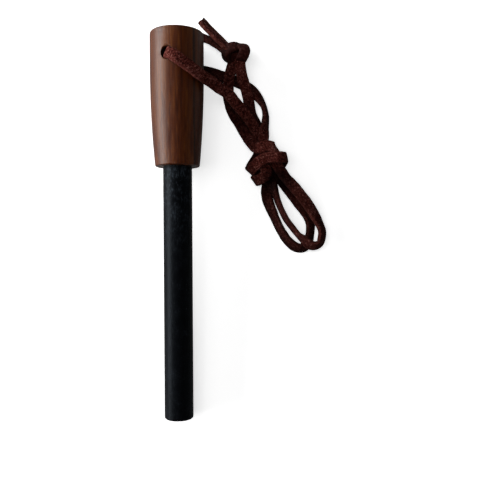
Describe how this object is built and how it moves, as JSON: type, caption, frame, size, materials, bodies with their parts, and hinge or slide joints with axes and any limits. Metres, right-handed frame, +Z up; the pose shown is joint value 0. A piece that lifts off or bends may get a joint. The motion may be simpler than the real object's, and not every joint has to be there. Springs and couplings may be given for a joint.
{
  "type": "ferro rod fire starter",
  "caption": "Ferrocerium rod glued into a turned walnut handle, with a flat suede lace threaded through the handle and wound into a short hank.",
  "frame": {"origin": "on the surface the part lies on, under the middle of the handle and rod", "axes": "+Y along the part from the rod's free end to the handle's flat end, +Z up, +X to the side that the lace lies on"},
  "size_m": [0.0627, 0.142, 0.0215],
  "materials": {
    "walnut": "satin oiled walnut with long grain",
    "ferrocerium": "dark pitted cast surface, satin",
    "cured_glue": "clear amber",
    "suede": "napped suede with a smooth grain side"
  },
  "bodies": {
    "root": {"handle": "walnut", "ferro_rod": "ferrocerium", "glue_bond": "cured_glue", "lace_front_strand": "suede", "lace_front_loop": "suede", "lace_middle_turn": "suede", "lace_right_strand": "suede", "lace_back_strand": "suede", "lace_back_loop": "suede", "lace_upper_turn": "suede", "lace_left_strand": "suede", "lace_end_knot": "suede", "lace_upper_tail": "suede", "lace_lower_tail": "suede"}
  },
  "joints": []
}
